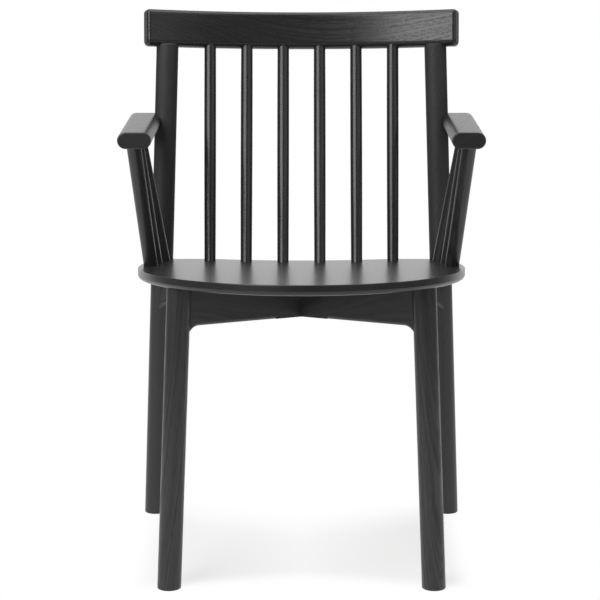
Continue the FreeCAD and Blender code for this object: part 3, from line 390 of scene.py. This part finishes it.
def beech():
    """Steamed beech: even pinkish brown with short dark flecks along the grain."""
    material, tree = new_material("plain_steamed_beech")
    here = add_node(tree, "ShaderNodeTexCoord")
    along = add_node(tree, "ShaderNodeMapping",
                     {"Scale": (1000 / FLECK_WIDTH_MM, 1000 / FLECK_LENGTH_MM, 1000 / FLECK_WIDTH_MM)},
                     {"Vector": here.outputs["Object"]})
    flecks = add_node(tree, "ShaderNodeTexNoise", {"Scale": CELLS_PER_FLECK, "Detail": 3.0},
                      {"Vector": along.outputs[0]})
    amount = add_node(tree, "ShaderNodeMapRange", {"From Min": FLECK_EDGES[0], "From Max": FLECK_EDGES[1]},
                      {"Value": flecks.outputs["Fac"]})
    colour = add_node(tree, "ShaderNodeMix", {6: linear("#cfa580"), 7: linear("#9c6d48")},
                      {0: amount.outputs[0]}, data_type="RGBA")
    relief = add_node(tree, "ShaderNodeBump", {"Strength": 0.4, "Distance": FLECK_DEPTH_MM / 1000},
                      {"Height": amount.outputs[0]}, invert=True)
    surface = add_node(tree, "ShaderNodeBsdfPrincipled", {"IOR": 1.5, "Roughness": 0.7},
                       {"Base Color": colour.outputs[2], "Normal": relief.outputs[0]})
    add_node(tree, "ShaderNodeOutputMaterial", None, {"Surface": surface.outputs[0]})
    return material


dress("arm_dowels", beech())


# %% [markdown]
# Screws of zinc-plated steel fix the seat. Zinc is bright but slightly cloudy, because it comes out of its
# bath in many small crystals. Colour and shine could each have a noise of their own, but on the real metal
# the greyer patches are also the duller ones, so one noise steers both.

# %% Zinc-plated screws
CLOUD_MM = 4.0
ZINC_ROUGHNESS = (0.28, 0.46)  # in the bright and in the cloudy patches


def zinc_plate():
    """Zinc-plated steel: a bluish white metal with cloudy patches a few millimetres wide."""
    material, tree = new_material("zinc_plated_steel")
    here = add_node(tree, "ShaderNodeTexCoord")
    cloud = add_node(tree, "ShaderNodeTexNoise", {"Scale": 1000 / CLOUD_MM, "Detail": 4.0},
                     {"Vector": here.outputs["Object"]})
    colour = add_node(tree, "ShaderNodeMix", {6: linear("#c3c7cb"), 7: linear("#9fa3a6")},
                      {0: cloud.outputs["Fac"]}, data_type="RGBA")
    dull = add_node(tree, "ShaderNodeMapRange", {"To Min": ZINC_ROUGHNESS[0], "To Max": ZINC_ROUGHNESS[1]},
                    {"Value": cloud.outputs["Fac"]})
    surface = add_node(tree, "ShaderNodeBsdfPrincipled", {"Metallic": 1.0},
                       {"Base Color": colour.outputs[2], "Roughness": dull.outputs[0]})
    add_node(tree, "ShaderNodeOutputMaterial", None, {"Surface": surface.outputs[0]})
    return material


dress("seat_screws", zinc_plate())


# %% [markdown]
# Each leg stands on a glide of black nylon, from a spark-eroded mould that leaves a fine matt grain. The
# grain of such a mould is about 0.1 mm, too fine to show, so it is drawn 0.6 mm coarse. Glides slide over
# floors, so a second, broader noise adds greyish scuffs.

# %% Nylon glides
NYLON_GRAIN_MM = 0.6
NYLON_RELIEF_MM = 0.05
NYLON_ROUGHNESS = (0.5, 0.68)  # in the hollows and on the tops of the grain
SCUFF_MM = 7.0
SCUFF_EDGES = (0.5, 0.75)      # levels of the noise where a scuff begins and where it is palest


def nylon():
    """Black nylon from a spark-eroded mould: a matt grain, and scuffs from the floor."""
    material, tree = new_material("moulded_black_nylon")
    here = add_node(tree, "ShaderNodeTexCoord")
    grain = add_node(tree, "ShaderNodeTexNoise", {"Scale": 1000 / NYLON_GRAIN_MM, "Detail": 2.0},
                     {"Vector": here.outputs["Object"]})
    scuff = add_node(tree, "ShaderNodeTexNoise", {"Scale": 1000 / SCUFF_MM, "Detail": 3.0},
                     {"Vector": here.outputs["Object"]})
    worn = add_node(tree, "ShaderNodeMapRange", {"From Min": SCUFF_EDGES[0], "From Max": SCUFF_EDGES[1]},
                    {"Value": scuff.outputs["Fac"]})
    colour = add_node(tree, "ShaderNodeMix", {6: linear("#1a1a1b"), 7: linear("#333333")},
                      {0: worn.outputs[0]}, data_type="RGBA")
    dull = add_node(tree, "ShaderNodeMapRange", {"To Min": NYLON_ROUGHNESS[0], "To Max": NYLON_ROUGHNESS[1]},
                    {"Value": grain.outputs["Fac"]})
    relief = add_node(tree, "ShaderNodeBump", {"Strength": 0.3, "Distance": NYLON_RELIEF_MM / 1000},
                      {"Height": grain.outputs["Fac"]})
    surface = add_node(tree, "ShaderNodeBsdfPrincipled", {"IOR": 1.53},
                       {"Base Color": colour.outputs[2], "Roughness": dull.outputs[0],
                        "Normal": relief.outputs[0]})
    add_node(tree, "ShaderNodeOutputMaterial", None, {"Surface": surface.outputs[0]})
    return material


dress("floor_glides", nylon())


# %% [markdown]
# ## Floor and backdrop
# The chair stands on a strip of white paper from a wide roll, plain and pale. For the camera it fades to full
# white away from the chair, so that neither a horizon nor the strip's edge shows. Between the feet that white
# is painted light laid over the real paper's soft shadow, less of it beside the feet than midway between the
# legs, so that it also gives the shadow its shape. The strip ends 2 m in front of the chair's middle. The
# upright legs mirror it, painted white included, and get darker towards the seat, where they begin to mirror
# what lies beyond its end.

# %% Paper strip
PAPER_HALF_WIDTH = 2.2
PAPER_FRONT = 2.0
PAPER_BACK = 3.4
PAPER_CELLS = 8


def paper_floor(half_width, front, back, cells):
    """A flat grid of cells by cells faces at the height of the floor, from -half_width to half_width in x
    and from -front to back in y."""
    row = cells + 1
    x, y = np.meshgrid(np.linspace(-half_width, half_width, row), np.linspace(-front, back, row))
    points = np.stack([x, y, np.zeros_like(x)], axis=-1).reshape(-1, 3)
    first = (np.arange(cells)[:, None] * row + np.arange(cells)[None, :]).ravel()
    faces = np.stack([first, first + 1, first + row + 1, first + row], axis=1)
    mesh = bpy.data.meshes.new("paper_floor")
    mesh.from_pydata(points.tolist(), [], faces.tolist())
    floor = bpy.data.objects.new("paper_floor", mesh)
    bpy.context.scene.collection.objects.link(floor)
    return floor


floor = paper_floor(PAPER_HALF_WIDTH, PAPER_FRONT, PAPER_BACK, PAPER_CELLS)
print("floor:", len(floor.data.polygons), "faces")

# %% White paper
PAPER = "#f4f4f3"
FIBRE_MM = 1.1            # drawn far coarser than real fibres, which would not show
FIBRE_RELIEF_MM = 0.1
# painted light: plain white laid over the paper's real shadow, a larger share midway between the legs than
# beside the feet, which shapes the shadow
PAINTED_WHITE_MIDDLE = 0.8        # share of plain white midway between the legs
PAINTED_WHITE_AT_FEET = 0.48      # and beside the feet, where the shadow shows most
SHADE_SIDE = (0.2, 0.25)  # |x| in metres where the shadow begins to fade and where it is gone
# The ends of the shadow: how an end bends with |x|, then the same two places in y.
SHADE_FRONT = (0.2, -0.075, -0.142)
SHADE_BACK = (-0.4, 0.03, 0.225)


# painted light: this share of plain white lightens the paper's real shadow and sets where and how dark it
# shows
def painted_white_share(tree, place):
    """How much plain white covers the paper. It falls evenly from the middle to the feet with |x|, and grows
    to all of it past the sides, measured by |x|, and past both ends, measured by y + bend * |x|."""
    parts = add_node(tree, "ShaderNodeSeparateXYZ", None, {0: place})
    aside = add_node(tree, "ShaderNodeMath", None, {0: parts.outputs["X"]}, operation="ABSOLUTE")
    share = add_node(tree, "ShaderNodeMapRange",
                     {"From Max": SHADE_SIDE[0], "To Min": PAINTED_WHITE_MIDDLE, "To Max": PAINTED_WHITE_AT_FEET},
                     {"Value": aside.outputs[0]})
    share = add_node(tree, "ShaderNodeMapRange", {"From Min": SHADE_SIDE[0], "From Max": SHADE_SIDE[1]},
                     {"Value": aside.outputs[0], "To Min": share.outputs[0]},
                     interpolation_type="SMOOTHSTEP")
    for bend, start, end in (SHADE_FRONT, SHADE_BACK):
        along = add_node(tree, "ShaderNodeMath", {1: bend}, {0: aside.outputs[0], 2: parts.outputs["Y"]},
                         operation="MULTIPLY_ADD")
        share = add_node(tree, "ShaderNodeMapRange", {"From Min": start, "From Max": end},
                         {"Value": along.outputs[0], "To Min": share.outputs[0]},
                         interpolation_type="SMOOTHSTEP")
    return share.outputs[0]


def white_paper():
    """Matt paper. The share of plain white is mixed in for the camera, mirrors and glass only, so that it
    lights nothing else."""
    material, tree = new_material("matt_white_paper")
    here = add_node(tree, "ShaderNodeTexCoord")
    path = add_node(tree, "ShaderNodeLightPath")
    seen = add_node(tree, "ShaderNodeMath", None,
                    {0: path.outputs["Is Camera Ray"], 1: path.outputs["Is Glossy Ray"]},
                    operation="MAXIMUM")
    clear = add_node(tree, "ShaderNodeMath", None,
                     {0: seen.outputs[0], 1: path.outputs["Is Transmission Ray"]}, operation="MAXIMUM")
    # painted light over the paper's shadow, seen by the camera and in reflections
    share = add_node(tree, "ShaderNodeMath", None,
                     {0: painted_white_share(tree, here.outputs["Object"]), 1: clear.outputs[0]},
                     operation="MULTIPLY")
    fibres = add_node(tree, "ShaderNodeTexNoise", {"Scale": 1000 / FIBRE_MM, "Detail": 2.0},
                      {"Vector": here.outputs["Object"]})
    relief = add_node(tree, "ShaderNodeBump", {"Strength": 0.05, "Distance": FIBRE_RELIEF_MM / 1000},
                      {"Height": fibres.outputs["Fac"]})
    paper = add_node(tree, "ShaderNodeBsdfDiffuse", {"Color": linear(PAPER)}, {"Normal": relief.outputs[0]})
    # a painted glow of plain white; it is no lamp and lights nothing
    white = add_node(tree, "ShaderNodeEmission", {"Strength": 1.0})
    mixed = add_node(tree, "ShaderNodeMixShader", None,
                     {0: share.outputs[0], 1: paper.outputs[0], 2: white.outputs[0]})
    add_node(tree, "ShaderNodeOutputMaterial", None, {"Surface": mixed.outputs[0]})
    return material


floor.data.materials.append(white_paper())
print("floor finish:", floor.data.materials[0].name)


# %% [markdown]
# ## Light
# Satin black shows its surroundings more than its own colour, and the photograph says where they are bright.
# The level seat and arm tops mirror a white backdrop straight behind, while the rims of the spindles stay
# dark, so the backdrop is narrow and the room beside it dim. A real backdrop could be built as a wall, but
# the world's own light can say the same with one range of directions.

# %% Dim room with a white backdrop
ROOM = 0.12
BACKDROP = 1.13
BACKDROP_EDGES = (0.7, 0.92)  # y of a direction where the backdrop begins and where it is full


def soft_room():
    """The world: white to the camera. For all other rays it is dim, and white within 23 degrees of straight
    behind the chair, with a soft edge out to 46 degrees."""
    world = bpy.data.worlds.new("soft_room")
    world.use_nodes = True
    tree = world.node_tree
    tree.nodes.clear()
    way = add_node(tree, "ShaderNodeTexCoord")
    parts = add_node(tree, "ShaderNodeSeparateXYZ", None, {0: way.outputs["Generated"]})
    level = add_node(tree, "ShaderNodeMapRange",
                     {"From Min": BACKDROP_EDGES[0], "From Max": BACKDROP_EDGES[1],
                      "To Min": ROOM, "To Max": BACKDROP},
                     {"Value": parts.outputs["Y"]}, interpolation_type="SMOOTHSTEP")
    path = add_node(tree, "ShaderNodeLightPath")
    strength = add_node(tree, "ShaderNodeMix", {3: 1.0},
                        {0: path.outputs["Is Camera Ray"], 2: level.outputs[0]}, data_type="FLOAT")
    sky = add_node(tree, "ShaderNodeBackground", {"Color": (1, 1, 1, 1)}, {"Strength": strength.outputs[0]})
    add_node(tree, "ShaderNodeOutputWorld", None, {"Surface": sky.outputs[0]})
    return world


bpy.context.scene.world = soft_room()
print("room level:", ROOM, "backdrop level:", BACKDROP)


# %% [markdown]
# ### Lamps
# Every spindle has a bright line a third of the way from its left rim, and the hollow of the top rail lights
# up on its right. Both mirror one large soft box, in front on the left, 20 to 70 degrees away from the
# camera, with a small low one under it. A wide, weak panel on the right and a soft top light do the rest.
# All are flat area lamps, because the shape of a lamp is what a shiny black surface shows of it.

# %% Soft lamps
LAMP_AIM = Vector((0.0, 0.05, 0.6))  # in front of the spindles, between the seat and the top rail
LAMP_DISTANCE = 2.6
LAMPS = {
    "left_soft_box": dict(turn_deg=-45, rise_deg=34, width=2.2, height=1.7, watts=54),
    "left_low_box": dict(turn_deg=-33, rise_deg=12.5, width=0.95, height=0.4, watts=7.7),
    "right_panel": dict(turn_deg=70, rise_deg=30, width=3.8, height=2.4, watts=20),
    "top_soft_box": dict(turn_deg=180, rise_deg=86, width=3.6, height=2.4, watts=66),
}


def soft_lamp(name, turn_deg, rise_deg, width, height, watts):
    """A flat soft lamp that shines at LAMP_AIM. turn_deg is its angle from the camera's direction, to the
    left where negative, and rise_deg its angle over the horizon."""
    turn, rise = math.radians(turn_deg), math.radians(rise_deg)
    towards = Vector((math.sin(turn) * math.cos(rise), -math.cos(turn) * math.cos(rise), math.sin(rise)))
    lamp = bpy.data.lights.new(name, "AREA")
    lamp.shape = "RECTANGLE"
    lamp.size = width
    lamp.size_y = height
    lamp.energy = watts
    stand = bpy.data.objects.new(name, lamp)
    stand.location = LAMP_AIM + towards * LAMP_DISTANCE
    stand.rotation_euler = (-towards).to_track_quat("-Z", "Y").to_euler()
    bpy.context.scene.collection.objects.link(stand)
    return stand


for name, setting in LAMPS.items():
    lamp = soft_lamp(name, **setting)
    print(name, "at", [round(v, 2) for v in lamp.location])


# %% [markdown]
# ## The camera
# The photograph looks straight at the front of the chair and a little down on it. The straight legs and
# posts come out of it equally thick when the camera stands 2.6 m in front of the seat, so that is where it
# is put, with a long lens.

# %% Camera
CAMERA_PLACE = (-0.0022, -2.8742, 0.9073)
CAMERA_DOWN_DEG = 10.271
CAMERA_LENS_MM = 119.05
CAMERA_SENSOR_MM = 36.0

camera_data = bpy.data.cameras.new("photo_camera")
camera_data.sensor_width = CAMERA_SENSOR_MM
camera_data.lens = CAMERA_LENS_MM
camera = bpy.data.objects.new("photo_camera", camera_data)
camera.location = CAMERA_PLACE
camera.rotation_euler = (math.radians(90 - CAMERA_DOWN_DEG), 0, 0)
bpy.context.scene.collection.objects.link(camera)
bpy.context.scene.camera = camera
bpy.context.scene.view_settings.view_transform = "Standard"
print("camera:", CAMERA_PLACE, "lens", CAMERA_LENS_MM)
